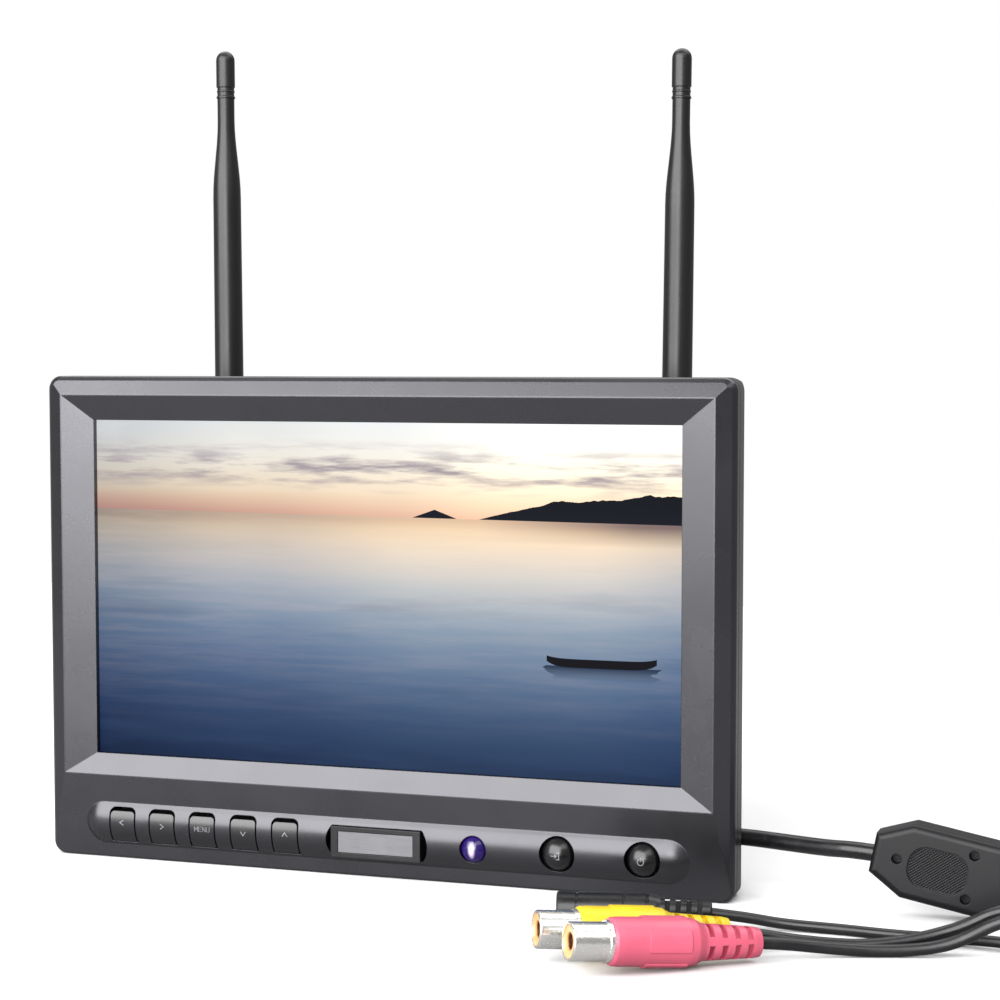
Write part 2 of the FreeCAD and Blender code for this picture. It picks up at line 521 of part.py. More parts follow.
def breakout_box():
    middle = BOX_T / 2
    front = box_half(0, middle, 0, BOX_WALL, middle + 1)
    rear = box_half(middle + 0.04, BOX_T, BOX_T, middle - 1, BOX_T - BOX_WALL)
    posts = [ycyl(s, t, BOX_WALL - 0.1, middle, BOX_POST_R) for s, t in BOX_SCREWS]
    front = fuse([front] + posts)
    posts = [ycyl(s, t, middle + 0.04, BOX_T - BOX_WALL + 0.1, BOX_POST_R) for s, t in BOX_SCREWS]
    rear = fuse([rear] + posts)
    low, high = GRIP_MID - GRIP_HALF_L, GRIP_MID + GRIP_HALF_L
    pad = plate(low, high, -1, GRIP_DEPTH, GRIP_Z0, GRIP_Z1, GRIP_CORNER)
    cable_hole = xcyl(middle, -0.6, -1, 4, CABLE_D / 2 + 0.05)
    end_hole = box(BOX_L - 2.2, BOX_L + 1, middle - 2.2, middle + 2.2, -7.2, 7.2)
    cuts_front = [pad, cable_hole, end_hole]
    cuts_rear = [cable_hole, end_hole]
    for s, t in BOX_SCREWS:
        cuts_front += [ycyl(s, t, -1, BOX_SCREW_SINK + 0.6, BOX_SCREW_R + 0.07), ycyl(s, t, 2, 6, 0.75)]
        cuts_rear.append(ycyl(s, t, middle - 1, middle + 3, 0.75))
    save("box_front_shell", in_box(front.cut(cuts_front)))
    save("box_rear_shell", in_box(rear.cut(cuts_rear)))
    screws = []
    for s, t in BOX_SCREWS:
        low = BOX_SCREW_SINK + 0.58
        head = phillips(ycyl(s, t, BOX_SCREW_SINK, low, BOX_SCREW_R), s, t, BOX_SCREW_SINK, 0.35, 0.7, -1)
        screws.append(fuse([head, ycyl(s, t, low - 0.02, 7.2, 0.72)]))
    save("box_screws", in_box(group(screws)))
    save("box_board", in_box(box(9.5, 26.5, 4.3, 5.3, -2.1, 2.1)))
    clamp = box(BOX_L - 2.15, BOX_L + 1.2, middle - 2.15, middle + 2.15, -7.15, 7.15)
    edges = [e for e in clamp.Edges if abs(e.CenterOfMass.x - BOX_L - 1.2) < 0.01]
    clamp = clamp.makeChamfer(0.5, edges)
    bores = [xcyl(middle, t, BOX_L - 4, BOX_L + 3, (POWER_LEAD_D if n == "power" else LEAD_D) / 2 + 0.08)
             for n, t in lead_heights().items()]
    save("lead_clamp", in_box(clamp.cut(bores)))


# ---------------------------------------------------------------- plugs on the leads
def along(mouth, rear, shape):
    """Move a shape drawn along +Z from the origin onto the line from mouth to rear, its +Y side up."""
    run = (rear - mouth).normalize()
    across = Z.cross(run).normalize()
    turn = FreeCAD.Rotation(across, run.cross(across), run, "ZYX")
    moved = shape.copy()
    moved.Placement = FreeCAD.Placement(mouth, turn).multiply(shape.Placement)
    return moved


def relief_slots(z0, pitch, width, r_in):
    """Four rings of four slots that let a strain relief bend."""
    slots = []
    for ring in range(4):
        for quarter in range(4):
            slot = box(r_in, 6.0, -2.0, 2.0, z0 + pitch * ring, z0 + pitch * ring + width)
            slot.rotate(V(0, 0, 0), Z, 45 + 90 * quarter)
            slots.append(slot)
    return slots


def phono_socket(name):
    mouth, rear = SOCKETS[name]
    length = (rear - mouth).Length
    shell = [(3.6, 0), (4.0, 0), (4.15, 0.2), (4.15, 8.2), (4.5, 8.2), (4.5, 9.0), (4.15, 9.0),
             (4.15, 10.2), (3.6, 10.2)]
    save(name + "_socket_barrel", revolve(shell, mouth, rear - mouth))
    bore = PIN_BORE_R
    core = [(bore, 0.4), (3.56, 0.4), (3.56, 10.0), (0, 10.0), (0, 9.0), (bore, 9.0)]
    save(name + "_socket_insulator", revolve(core, mouth, rear - mouth))
    end = LEAD_D / 2 + 0.05
    hood = [(4.19, 9.05), (4.8, 9.05), (5.1, 9.6), (HOOD_R, 11.0), (HOOD_R, 26.5), (5.0, 28.0), (4.2, 29.6),
            (4.0, 30.2), (3.35, 41.8), (3.1, length), (end, length), (end, length - 4.0), (0, length - 4.0),
            (0, 10.25), (4.19, 10.25)]
    body = revolve(hood, V(0, 0, 0), Z)
    cross = fuse([box(-HOOD_PAD_HALF, HOOD_PAD_HALF, -6, 6, 16.5, 26.0),
                  box(-6, 6, -HOOD_PAD_HALF, HOOD_PAD_HALF, 16.5, 26.0)])
    pads = Part.makeCylinder(HOOD_PAD_R, 9.5, V(0, 0, 16.5), Z).common(cross)
    pads = pads.cut(Part.makeCylinder(HOOD_R - 0.5, 12.0, V(0, 0, 15.0), Z))
    body = fuse([body, pads]).cut(relief_slots(30.6, 3.05, 1.35, 2.3))
    body.rotate(V(0, 0, 0), Z, HOOD_ROLL)
    save(name + "_socket_hood", along(mouth, rear, body))


def socket_contacts():
    """Sprung sleeve in the middle of each phono socket."""
    outer = PIN_BORE_R - 0.05
    contact = [(outer - 0.28, 0.7), (outer, 0.7), (outer, 8.9), (outer - 0.28, 8.9)]
    save("socket_contacts",
         group(revolve(contact, mouth, rear - mouth) for mouth, rear in SOCKETS.values()))


def power_jack():
    length = (JACK_REAR - JACK_MOUTH).Length
    bore, end = JACK_BORE_R, POWER_LEAD_D / 2 + 0.05
    hood = [(bore, 0), (3.8, 0), (4.1, 0.4), (4.1, 21.0), (3.6, 22.6), (3.2, 23.6), (2.3, length - 0.4),
            (2.1, length), (end, length), (end, length - 3.6), (0, length - 3.6), (0, 11.0), (bore, 11.0)]
    body = revolve(hood, V(0, 0, 0), Z)
    grooves = []
    for s in (4.3, 15.0, 20.2):
        ring = Part.makeCylinder(6, 0.6, V(0, 0, s), Z).cut(Part.makeCylinder(3.8, 0.6, V(0, 0, s), Z))
        grooves.append(ring)
    body = body.cut(grooves + relief_slots(24.6, 2.45, 1.1, 1.7))
    save("power_jack_hood", along(JACK_MOUTH, JACK_REAR, body))
    outer, inner = JACK_BORE_R - 0.05, JACK_BORE_R - 0.3
    sleeve = [(inner, 0.3), (outer, 0.3), (outer, 10.9), (0, 10.9), (0, 10.4), (inner, 10.4)]
    pin = [(0, 1.2), (0.7, 1.2), (1.0, 1.6), (1.0, 10.35), (0, 10.35)]
    axis = JACK_REAR - JACK_MOUTH
    save("power_jack_contacts", group(revolve(p, JACK_MOUTH, axis) for p in (sleeve, pin)))


def cable_grommet():
    """Rubber ring that lines the hole in the cover's sloping side."""
    ring = fuse([xcyl(CABLE_Y, CABLE_Z, 80.0, 87.9, 2.9), xcyl(CABLE_Y, CABLE_Z, 78.6, 80.2, 3.9)])
    save("cable_grommet", ring.cut(xcyl(CABLE_Y, CABLE_Z, 78, 89, CABLE_D / 2 + 0.05)))


# ---------------------------------------------------------------- build
NODES = {}
save("front_frame", front_frame())
save("rear_cover", rear_cover())
save("housing_screws", housing_screws())
save("board_screws", board_screws())
save("mount_inserts", mount_inserts())
picture_stack()
controls()
electronics()
aerials()
breakout_box()
for socket in SOCKETS:
    phono_socket(socket)
socket_contacts()
power_jack()
cable_grommet()
cord("main_cable", MAIN_CABLE, CABLE_D)
cord("audio_lead", AUDIO_LEAD, LEAD_D)
cord("video_lead", VIDEO_LEAD, LEAD_D)
cord("power_lead", POWER_LEAD, POWER_LEAD_D)

for node, solid in NODES.items():
    b = solid.optimalBoundingBox()
    print("%-24s solids %d  x %.2f %.2f  y %.2f %.2f  z %.2f %.2f" % (
        node, len(solid.Solids), b.XMin, b.XMax, b.YMin, b.YMax, b.ZMin, b.ZMax))
print(len(NODES), "nodes")
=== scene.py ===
import math

import bmesh
import bpy
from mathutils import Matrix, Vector


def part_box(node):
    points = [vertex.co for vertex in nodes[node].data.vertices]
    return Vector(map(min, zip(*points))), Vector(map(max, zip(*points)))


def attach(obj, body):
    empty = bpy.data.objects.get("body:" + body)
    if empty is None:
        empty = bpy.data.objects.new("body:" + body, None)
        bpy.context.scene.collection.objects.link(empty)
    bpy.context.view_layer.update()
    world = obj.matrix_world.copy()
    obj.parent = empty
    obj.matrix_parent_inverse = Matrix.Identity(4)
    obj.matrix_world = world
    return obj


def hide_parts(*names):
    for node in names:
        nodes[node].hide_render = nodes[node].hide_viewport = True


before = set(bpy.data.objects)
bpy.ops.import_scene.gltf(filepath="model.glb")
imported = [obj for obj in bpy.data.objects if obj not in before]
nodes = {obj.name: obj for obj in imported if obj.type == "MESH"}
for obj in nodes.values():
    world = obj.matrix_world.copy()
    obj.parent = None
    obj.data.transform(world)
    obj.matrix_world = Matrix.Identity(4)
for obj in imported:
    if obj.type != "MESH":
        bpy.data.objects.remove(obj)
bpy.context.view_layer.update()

MM = 0.001
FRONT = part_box("label_surround")[0][1] + 3.6 * MM      # plane of the housing's front edge
BAR_R, BAR_Y, BAR_Z = 8.56 * MM, FRONT + 5.51 * MM, 10.1 * MM
BUTTON_BALL_R, BUTTON_BALL_Y = 4.4 * MM, FRONT - 0.1 * MM
BOX_NOSE = (123.5 * MM, FRONT - 2.4 * MM, 15.35 * MM)
BOX_TILT = math.radians(10.9)


# ---------------------------------------------------------------- camera
CAMERA_PLACE = (0.19649, -0.53492, 0.12933)
CAMERA_DOWN, CAMERA_TURN = 3.651, 17.878               # degrees below the horizon, and to the left of +Y
CAMERA_LENS = 79.44


def make_camera():
    data = bpy.data.cameras.new("camera")
    data.sensor_width = 36.0
    data.lens = CAMERA_LENS
    data.clip_start = 0.01
    camera = bpy.data.objects.new("camera", data)
    camera.location = CAMERA_PLACE
    camera.rotation_euler = (math.radians(90.0 - CAMERA_DOWN), 0.0, math.radians(CAMERA_TURN))
    bpy.context.scene.collection.objects.link(camera)
    bpy.context.scene.camera = camera


# ---------------------------------------------------------------- cords
# Routes in millimetres, Y from the front plane, each from the monitor or the breakout box to its far end.
MAIN_CABLE = [(77.0, 16.0, 13.2), (89.0, 15.8, 13.15), (101.0, 12.9, 13.0), (112.0, 6.7, 13.7),
              (118.8, 3.4, 14.5), (125.5, 2.56, 14.09)]
AUDIO_LEAD = [(156.01, 2.85, 13.91), (169.0, 2.85, 11.4), (178.3, -7.1, 12.8), (178.3, -21.1, 13.4),
              (168.5, -31.0, 12.6), (155.5, -31.0, 9.0), (148.0, -31.2, 4.4), (142.5, -32.2, 2.4),
              (135.3, -34.0, 1.5), (126.5, -36.6, 1.45), (117.5, -40.0, 2.4), (109.6, -44.5, 3.8),
              (102.9, -49.3, 4.6)]
VIDEO_LEAD = [(155.07, 2.59, 9.0), (166.6, 2.59, 6.78), (175.0, -5.8, 8.6), (175.0, -17.6, 10.4),
              (166.6, -26.0, 11.3), (155.0, -26.0, 10.2), (147.8, -26.2, 6.1), (141.5, -27.5, 3.9),
              (134.5, -29.8, 2.3), (126.5, -32.6, 1.5), (118.5, -33.5, 1.5), (110.5, -34.6, 2.0),
              (102.0, -38.5, 3.8), (94.75, -42.9, 4.56)]
POWER_LEAD = [(154.13, 2.33, 4.1), (164.0, 2.33, 2.2), (172.4, -4.1, 1.6), (174.8, -12.3, 1.4),
              (171.5, -20.2, 1.5), (163.5, -24.2, 1.7), (152.8, -21.3, 1.9), (142.0, -20.6, 1.3),
              (131.0, -20.9, 1.3), (118.5, -19.4, 1.3), (106.0, -19.9, 1.55), (96.6, -22.5, 3.3),
              (87.2, -24.94, 4.15)]
CABLE_D, LEAD_D, POWER_LEAD_D = 4.1, 2.8, 2.5


def on_table(place):
    x, y, z = place
    return (x * MM, FRONT + y * MM, z * MM)


def cord_curve(name, route, diameter):
    curve = bpy.data.curves.new(name, "CURVE")
    curve.dimensions = "3D"
    curve.resolution_u = 16
    curve.bevel_depth = 1.0                            # times each point's radius
    curve.bevel_resolution = 6
    curve.use_fill_caps = True
    spline = curve.splines.new("NURBS")
    spline.points.add(len(route) - 1)
    for point, place in zip(spline.points, route):
        point.co = (*on_table(place), 1.0)
        point.radius = diameter * MM / 2
    spline.order_u = 3
    spline.use_endpoint_u = True
    piece = bpy.data.objects.new(name, curve)
    bpy.context.scene.collection.objects.link(piece)
    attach(piece, "root")
    return piece


def make_cords():
    main = cord_curve("main_cable_jacket", MAIN_CABLE, CABLE_D)
    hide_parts("main_cable")
    leads = [
        ("audio_lead", AUDIO_LEAD, LEAD_D, 0.1245, ("audio_socket", "socket_contacts")),
        ("video_lead", VIDEO_LEAD, LEAD_D, 0.1225, ("video_socket",)),
        ("power_lead", POWER_LEAD, POWER_LEAD_D, 0.1235, ("power_jack",)),
    ]
    jackets = [main]
    for name, route, diameter, length, plug in leads:
        lead = cord_curve(name + "_jacket", route, diameter)
        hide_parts(name)
        jackets.append(lead)
    return jackets


# ---------------------------------------------------------------- material helpers
class Shader:
    """A material with a Principled shader, and short ways to add and join nodes."""

    def __init__(self, name, **constants):
        self.material = bpy.data.materials.new(name)
        self.material.use_nodes = True
        self.tree = self.material.node_tree
        self.surface = self.tree.nodes["Principled BSDF"]
        for socket, value in constants.items():
            self.surface.inputs[socket.replace("_", " ")].default_value = value

    def add(self, kind, inputs=None, **settings):
        new = self.tree.nodes.new("ShaderNode" + kind)
        for key, value in settings.items():
            setattr(new, key, value)
        for key, value in (inputs or {}).items():
            self.put(new.inputs[key], value)
        return new

    def put(self, socket, value):
        if isinstance(value, bpy.types.NodeSocket):
            self.tree.links.new(value, socket)
        else:
            socket.default_value = value

    def math(self, operation, *values):
        new = self.add("Math", operation=operation)
        for socket, value in zip(new.inputs, values):
            self.put(socket, value)
        return new.outputs[0]

    def place(self):
        return self.add("TexCoord").outputs["Object"]

    def noise(self, size, place=None, detail=3.0, rough=0.55, stretch=None):
        """Noise whose lumps are about size across, in metres."""
        place = place or self.place()
        if stretch:
            place = self.add("Mapping", {"Vector": place, "Scale": stretch}).outputs[0]
        new = self.add("TexNoise", {"Vector": place, "Scale": 1.0 / size, "Detail": detail,
                                    "Roughness": rough})
        return new.outputs["Fac"]

    def span(self, value, low, high, to_low, to_high):
        return self.add("MapRange", {"Value": value, "From Min": low, "From Max": high,
                                     "To Min": to_low, "To Max": to_high}).outputs[0]

    def ramp(self, value, stops, interpolation="LINEAR"):
        new = self.add("ValToRGB", {"Fac": value})
        ramp = new.color_ramp
        ramp.interpolation = interpolation
        while len(ramp.elements) < len(stops):
            ramp.elements.new(0.5)
        for element, (position, colour) in zip(ramp.elements, stops):
            element.position = position
            element.color = (*colour, 1.0)
        return new.outputs[0]

    def mix(self, factor, first, second, blend="MIX"):
        new = self.add("Mix", data_type="RGBA", blend_type=blend)
        self.put(new.inputs["Factor"], factor)
        for socket, value in (("A", first), ("B", second)):
            sockets = [s for s in new.inputs if s.name == socket and s.type == "RGBA"]
            self.put(sockets[0], value if isinstance(value, bpy.types.NodeSocket) else (*value, 1.0))
        return [s for s in new.outputs if s.type == "RGBA"][0]

    def bump(self, height, depth, edge=0.0):
        """Surface relief, depth in metres, over corners softened by a radius of edge metres."""
        new = self.add("Bump", {"Strength": 1.0, "Distance": depth, "Height": height})
        if edge:
            corner = self.add("Bevel", {"Radius": edge}, samples=4)
            self.put(new.inputs["Normal"], corner.outputs[0])
        self.put(self.surface.inputs["Normal"], new.outputs[0])

    def base(self, value):
        self.put(self.surface.inputs["Base Color"], value)

    def rough(self, value):
        self.put(self.surface.inputs["Roughness"], value)


def shade(colour, factor):
    return tuple(c * factor for c in colour)


def moulded(name, colour, roughness, grain=0.00025, depth=0.000006, edge=0.00025, wear=0.25, **constants):
    """Moulded plastic: fine grain, faint mottling, and corners rubbed a little lighter and smoother."""
    m = Shader(name, **constants)
    mottle = m.noise(0.018, detail=4.0)
    tone = m.ramp(mottle, [(0.3, shade(colour, 0.88)), (0.7, shade(colour, 1.1))])
    normal = m.add("Bevel", {"Radius": 0.0005}, samples=4).outputs[0]
    flat = m.add("NewGeometry").outputs["Normal"]
    turn = m.add("VectorMath", {0: normal, 1: flat}, operation="DOT_PRODUCT").outputs["Value"]
    rubbed = m.math("MULTIPLY", m.span(turn, 0.995, 0.9, 0.0, 1.0),
                    m.span(m.noise(0.004), 0.4, 0.65, 0.2, 1.0))
    worn = tuple(min(1.0, c * 1.5 + 0.012) for c in colour)
    m.base(m.mix(m.math("MULTIPLY", rubbed, wear), tone, worn))
    smear = m.span(m.noise(0.03, detail=5.0, rough=0.65), 0.3, 0.7, roughness - 0.05, roughness + 0.06)
    m.rough(m.math("SUBTRACT", smear, m.math("MULTIPLY", rubbed, 0.08)))
    m.bump(m.noise(grain, detail=2.0), depth, edge)
    return m.material


def rubbery(name, colour, roughness=0.5, **constants):
    """Soft vinyl: low sheen, small lumps along it and a little dust."""
    m = Shader(name, **constants)
    dust = m.span(m.noise(0.0035, detail=6.0, rough=0.7), 0.55, 0.8, 0.0, 1.0)
    dusty = tuple(min(1.0, c * 0.95 + 0.012) for c in colour)
    tone = m.ramp(m.noise(0.012), [(0.3, shade(colour, 0.9)), (0.7, shade(colour, 1.08))])
    m.base(m.mix(dust, tone, dusty))
    m.rough(m.span(m.noise(0.006, detail=4.0), 0.3, 0.7, roughness - 0.08, roughness + 0.1))
    m.bump(m.noise(0.0009, detail=3.0), 0.00002, 0.0002)
    return m.material


def metal(name, colour, roughness, brushed=(1.0, 1.0, 1.0), scratch=0.0006, depth=0.000003):
    """Plated or brushed metal, with fine marks stretched the way it was worked."""
    m = Shader(name, Metallic=1.0)
    marks = m.noise(scratch, stretch=brushed, detail=5.0, rough=0.7)
    m.base(m.ramp(marks, [(0.3, shade(colour, 0.85)), (0.7, tuple(min(1.0, c * 1.08) for c in colour))]))
    tarnish = m.noise(0.003, detail=3.0)
    m.rough(m.math("ADD", m.span(marks, 0.3, 0.7, roughness - 0.06, roughness + 0.06),
                   m.span(tarnish, 0.35, 0.7, 0.0, 0.08)))
    m.bump(marks, depth, 0.00012)
    return m.material


# ---------------------------------------------------------------- picture on the screen
SKY = [(0.0, (0.84, 0.50, 0.36)), (0.08, (0.90, 0.60, 0.42)), (0.22, (0.94, 0.78, 0.56)),
       (0.5, (0.94, 0.90, 0.82)), (0.8, (0.86, 0.90, 0.92)), (1.0, (0.76, 0.83, 0.88))]
WATER = [(0.0, (0.012, 0.026, 0.066)), (0.15, (0.020, 0.045, 0.115)), (0.35, (0.058, 0.11, 0.225)),
         (0.58, (0.19, 0.275, 0.40)), (0.75, (0.48, 0.52, 0.56)), (0.88, (0.76, 0.66, 0.56)),
         (0.96, (0.84, 0.66, 0.45)), (1.0, (0.62, 0.44, 0.32))]
HORIZON = 0.676                                        # height of the waterline on the picture, 0 to 1
BOAT_U, BOAT_V, BOAT_HALF = 0.850, 0.333, 0.084


def dusk_lake():
    """A lake at dusk: sky over hills, their reflection in calm water, and an empty boat."""
    m = Shader("lit_picture", Roughness=0.5, Specular_IOR_Level=0.02)
    low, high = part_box("lcd_panel")
    where = m.add("SeparateXYZ", {"Vector": m.place()})
    u = m.span(where.outputs["X"], low[0], high[0], 0.0, 1.0)
    v = m.span(where.outputs["Z"], low[2], high[2], 0.0, 1.0)
    above = m.math("SUBTRACT", v, m.span(u, 0.0, 1.0, HORIZON + 0.012, HORIZON))

    sky = m.ramp(m.span(v, HORIZON, 1.0, 0.0, 1.0), SKY, "B_SPLINE")
    glare = m.ramp(u, [(0.0, (0.66, 0.68, 0.72)), (0.3, (0.92, 0.92, 0.92)), (0.5, (1.04, 1.04, 1.04)),
                       (0.75, (1.3, 1.3, 1.25)), (1.0, (1.3, 1.3, 1.25))], "EASE")
    sky = m.mix(1.0, sky, glare, "MULTIPLY")
    streaks = m.noise(0.026, stretch=(1.0, 1.0, 9.0), detail=6.0, rough=0.6)
    band = m.math("MULTIPLY", m.span(above, 0.05, 0.11, 0.0, 1.0), m.span(above, 0.20, 0.13, 0.0, 1.0))
    cloud = m.math("MULTIPLY", m.span(streaks, 0.46, 0.62, 0.0, 0.85), band)
    sky = m.mix(cloud, sky, (0.30, 0.25, 0.31))
    veil = m.noise(0.045, stretch=(1.0, 1.0, 3.5), detail=6.0)
    wisps = m.math("MULTIPLY", m.span(veil, 0.5, 0.75, 0.0, 0.5), m.span(above, 0.1, 0.2, 0.0, 1.0))
    sky = m.mix(wisps, sky, (0.95, 0.93, 0.92))

    dusk = m.math("MULTIPLY", m.span(above, 0.06, 0.0, 0.0, 0.75), m.span(u, 0.65, 0.0, 0.0, 1.0))
    sky = m.mix(dusk, sky, (0.42, 0.20, 0.20))

    ridge = m.ramp(u, [(0.0, (0, 0, 0)), (0.66, (0, 0, 0)), (0.71, (0.3, 0.3, 0.3)),
                       (0.79, (0.72, 0.72, 0.72)), (0.86, (0.78, 0.78, 0.78)),
                       (0.93, (0.95, 0.95, 0.95)), (1.0, (1, 1, 1))])
    rough_top = m.span(m.noise(0.008, stretch=(1.0, 0.0, 0.0), detail=6.0), 0.3, 0.7, 0.85, 1.1)
    hill_top = m.math("MULTIPLY", m.math("MULTIPLY", ridge, rough_top), 0.075)
    hills = m.math("LESS_THAN", above, hill_top)
    islet_x = m.math("SUBTRACT", u, 0.59)
    islet = m.math("SUBTRACT", 0.022, m.math("MULTIPLY", m.math("ABSOLUTE", islet_x), 0.62))
    land = m.math("MAXIMUM", hills, m.math("LESS_THAN", above, islet))
    haze = m.mix(m.span(above, 0.0, 0.07, 0.0, 1.0), (0.009, 0.010, 0.017), (0.005, 0.007, 0.011))
    sky = m.mix(land, sky, haze)

    water = m.ramp(m.span(v, 0.0, HORIZON, 0.0, 1.0), WATER, "B_SPLINE")
    ripple = m.noise(0.03, stretch=(1.0, 1.0, 14.0), detail=6.0, rough=0.6)
    glow = m.ramp(u, [(0.0, (0.50, 0.56, 0.66)), (0.3, (0.86, 0.88, 0.93)), (0.6, (1.25, 1.2, 1.12)),
                      (0.82, (1.28, 1.22, 1.14)), (1.0, (0.95, 0.97, 1.0))], "EASE")
    water = m.mix(1.0, water, glow, "MULTIPLY")
    shimmer = m.math("MULTIPLY", m.span(ripple, 0.4, 0.7, 0.0, 0.22), m.span(v, 0.1, HORIZON, 0.0, 1.0))
    water = m.mix(shimmer, water, (0.78, 0.62, 0.55))
    swell = m.noise(0.05, stretch=(1.0, 1.0, 9.0), detail=5.0)
    troughs = m.math("MULTIPLY", m.span(swell, 0.5, 0.7, 0.0, 0.35), m.span(v, HORIZON, 0.3, 0.0, 1.0))
    water = m.mix(troughs, water, (0.035, 0.07, 0.16))
    shore = m.math("MULTIPLY", m.span(above, -0.06, -0.008, 0.0, 0.8), m.span(u, 0.66, 0.9, 0.05, 1.0))
    water = m.mix(shore, water, (0.12, 0.08, 0.10))

    boat_u = m.math("SUBTRACT", u, BOAT_U)
    far = m.math("DIVIDE", m.math("ABSOLUTE", boat_u), BOAT_HALF)
    sheer = m.math("MULTIPLY", m.math("POWER", far, 6.0), 0.007)
    over = m.math("SUBTRACT", m.math("SUBTRACT", v, BOAT_V), sheer)
    depth = m.math("SUBTRACT", 0.022, m.math("MULTIPLY", m.math("POWER", far, 8.0), 0.008))
    hull = m.math("MULTIPLY", m.math("LESS_THAN", over, 0.0),
                  m.math("GREATER_THAN", m.math("ADD", over, depth), 0.0))
    hull = m.math("MULTIPLY", hull, m.math("LESS_THAN", far, 1.0))
    wobble = m.span(m.noise(0.004, stretch=(0.4, 1.0, 2.0), detail=3.0), 0.3, 0.7, 0.75, 1.15)
    under = m.math("MULTIPLY", m.span(v, BOAT_V - 0.055, BOAT_V - 0.022, 0.0, 0.9),
                   m.math("LESS_THAN", v, BOAT_V - 0.018))
    wake = m.math("MULTIPLY", under, m.math("LESS_THAN", far, wobble))
    water = m.mix(wake, water, (0.012, 0.028, 0.065))

    scene = m.mix(m.math("GREATER_THAN", above, 0.0), water, sky)
    scene = m.mix(hull, scene, (0.006, 0.006, 0.009))
    m.base((0.001, 0.001, 0.0012, 1.0))
    m.put(m.surface.inputs["Emission Color"], scene)
    m.surface.inputs["Emission Strength"].default_value = 1.0
    return m.material


# ---------------------------------------------------------------- marks on the keys and domes
CHEVRON = [((0.45, 0.62), (-0.45, 0.0)), ((-0.45, 0.0), (0.45, -0.62))]
LETTERS = {
    "M": [((0.0, 0.0), (0.0, 1.0)), ((0.0, 1.0), (0.38, 0.35)), ((0.38, 0.35), (0.76, 1.0)),
          ((0.76, 1.0), (0.76, 0.0))],
    "E": [((0.0, 0.0), (0.0, 1.0)), ((0.0, 1.0), (0.58, 1.0)), ((0.0, 0.52), (0.5, 0.52)),
          ((0.0, 0.0), (0.58, 0.0))],
    "N": [((0.0, 0.0), (0.0, 1.0)), ((0.0, 1.0), (0.66, 0.0)), ((0.66, 0.0), (0.66, 1.0))],
    "U": [((0.0, 1.0), (0.0, 0.12)), ((0.0, 0.12), (0.16, 0.0)), ((0.16, 0.0), (0.5, 0.0)),
          ((0.5, 0.0), (0.66, 0.12)), ((0.66, 0.12), (0.66, 1.0))],
}


def turned(strokes, quarter):
    """Strokes turned by quarter turns, anticlockwise as the viewer sees them."""
    for _ in range(quarter):
        strokes = [tuple((-w, u) for u, w in stroke) for stroke in strokes]
    return strokes


def word(text, height, pitch):
    strokes, across = [], 0.0
    for letter in text:
        strokes += [tuple((across + u * height, w * height) for u, w in stroke)
                    for stroke in LETTERS[letter]]
        across += pitch
    middle = (across - pitch + 0.66 * height) / 2
    return [tuple((u - middle, w - height / 2) for u, w in stroke) for stroke in strokes]


def arc(radius, start, end, steps=14):
    angles = [math.radians(start + (end - start) * i / steps) for i in range(steps + 1)]
    pts = [(radius * math.cos(a), radius * math.sin(a)) for a in angles]
    return list(zip(pts, pts[1:]))


def on_bar(x, z):
    return BAR_Y - math.sqrt(BAR_R ** 2 - (z - BAR_Z) ** 2)


def on_dome(middle_x, middle_z):
    def depth(x, z):
        return BUTTON_BALL_Y - math.sqrt(BUTTON_BALL_R ** 2 - (x - middle_x) ** 2 - (z - middle_z) ** 2)
    return depth


PRINT_OVER, PRINT_UNDER = 0.04 * MM, 0.05 * MM         # how far a mark stands proud, and how deep it goes


def short_parts(stroke, longest=0.3):
    (u0, w0), (u1, w1) = stroke
    count = math.ceil(math.hypot(u1 - u0, w1 - w0) / longest)
    pts = [(u0 + (u1 - u0) * i / count, w0 + (w1 - w0) * i / count) for i in range(count + 1)]
    return list(zip(pts, pts[1:]))


def printed(name, strokes, place, surface, body, paint, width):
    """Raised print: each stroke is a row of low bars that follow the surface under them, in millimetres."""
    mesh = bpy.data.meshes.new(name)
    build = bmesh.new()
    for (u0, w0), (u1, w1) in [part for stroke in strokes for part in short_parts(stroke)]:
        run = math.hypot(u1 - u0, w1 - w0)
        du, dw = (u1 - u0) / run * width / 2, (w1 - w0) / run * width / 2
        corners = [(u0 - du + dw, w0 - dw - du), (u1 + du + dw, w1 + dw - du), (u1 + du - dw, w1 + dw + du),
                   (u0 - du - dw, w0 - dw + du)]
        rings = []
        for lift in (PRINT_OVER, -PRINT_UNDER):
            ring = []
            for u, w in corners:
                x, z = place[0] + u * MM, place[1] + w * MM
                ring.append(build.verts.new((x, surface(x, z) - lift, z)))
            rings.append(ring)
        build.faces.new(rings[0])
        build.faces.new(rings[1][::-1])
        for i in range(4):
            build.faces.new((rings[1][i], rings[1][(i + 1) % 4], rings[0][(i + 1) % 4], rings[0][i]))
    bmesh.ops.recalc_face_normals(build, faces=build.faces)
    build.to_mesh(mesh)
    build.free()
    mesh.materials.append(paint)
    piece = bpy.data.objects.new(name, mesh)
    bpy.context.scene.collection.objects.link(piece)
    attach(piece, body)
    return piece


LETTER_STROKE, ARROW_STROKE, DOME_STROKE = 0.17, 0.24, 0.22      # widths of the printed lines
MARK_X = {"left_key": -69.3, "right_key": -57.8, "menu_key": -46.5, "down_key": -35.1, "up_key": -23.65}


